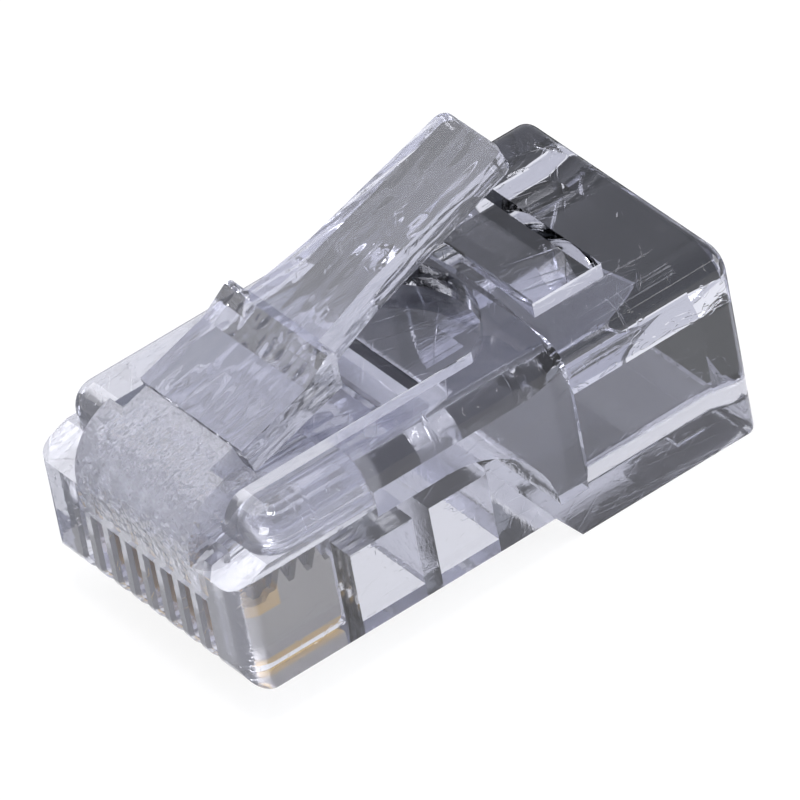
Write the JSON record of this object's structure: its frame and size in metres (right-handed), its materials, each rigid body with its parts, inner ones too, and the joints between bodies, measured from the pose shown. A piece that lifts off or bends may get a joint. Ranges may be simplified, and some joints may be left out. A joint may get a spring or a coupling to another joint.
{
  "type": "modular plug",
  "caption": "Clear eight-way modular plug for network cable, with gold-tipped sheet contacts, a sprung latch and strain-relief bars in the housing.",
  "frame": {"origin": "centre of the bounding box in plan, at the level of the underside of the cable end", "axes": "+Y from the nose towards the cable end, +Z from the contact side towards the latch, +X across the plug"},
  "size_m": [0.0116, 0.0218, 0.0133],
  "materials": {
    "clear_moulding": "clear moulded polycarbonate, polished outside, lightly frosted on the latch",
    "contact_metal": "stamped copper alloy sheet, nickel plated, gold on the mating edge"
  },
  "bodies": {
    "shell": {"housing": "clear_moulding"},
    "latch": {"latch": "clear_moulding"},
    "jacket_bar": {"jacket_bar": "clear_moulding"},
    "wire_bar": {"wire_bar": "clear_moulding"},
    "contact_1": {"contact_1": "contact_metal"},
    "contact_2": {"contact_2": "contact_metal"},
    "contact_3": {"contact_3": "contact_metal"},
    "contact_4": {"contact_4": "contact_metal"},
    "contact_5": {"contact_5": "contact_metal"},
    "contact_6": {"contact_6": "contact_metal"},
    "contact_7": {"contact_7": "contact_metal"},
    "contact_8": {"contact_8": "contact_metal"}
  },
  "joints": [
    {"name": "latch_press", "type": "hinge", "parent": "shell", "child": "latch", "pos_m": [0, -0.00743, 0.00763], "axis": [-1, 0, 0], "range_deg": [0, 17], "stiffness_Nm_per_rad": 0.2},
    {"name": "jacket_bar_crimp", "type": "hinge", "parent": "shell", "child": "jacket_bar", "pos_m": [0, 0.00455, 0.00705], "axis": [-1, 0, 0], "range_deg": [0, 22]},
    {"name": "wire_bar_crimp", "type": "hinge", "parent": "shell", "child": "wire_bar", "pos_m": [0, -0.00185, 0.00621], "axis": [-1, 0, 0], "range_deg": [0, 16]},
    {"name": "contact_1_crimp", "type": "slide", "parent": "shell", "child": "contact_1", "axis": [0, 0, 1], "range_m": [0, 0.0007]},
    {"name": "contact_2_crimp", "type": "slide", "parent": "shell", "child": "contact_2", "axis": [0, 0, 1], "range_m": [0, 0.0007]},
    {"name": "contact_3_crimp", "type": "slide", "parent": "shell", "child": "contact_3", "axis": [0, 0, 1], "range_m": [0, 0.0007]},
    {"name": "contact_4_crimp", "type": "slide", "parent": "shell", "child": "contact_4", "axis": [0, 0, 1], "range_m": [0, 0.0007]},
    {"name": "contact_5_crimp", "type": "slide", "parent": "shell", "child": "contact_5", "axis": [0, 0, 1], "range_m": [0, 0.0007]},
    {"name": "contact_6_crimp", "type": "slide", "parent": "shell", "child": "contact_6", "axis": [0, 0, 1], "range_m": [0, 0.0007]},
    {"name": "contact_7_crimp", "type": "slide", "parent": "shell", "child": "contact_7", "axis": [0, 0, 1], "range_m": [0, 0.0007]},
    {"name": "contact_8_crimp", "type": "slide", "parent": "shell", "child": "contact_8", "axis": [0, 0, 1], "range_m": [0, 0.0007]}
  ]
}
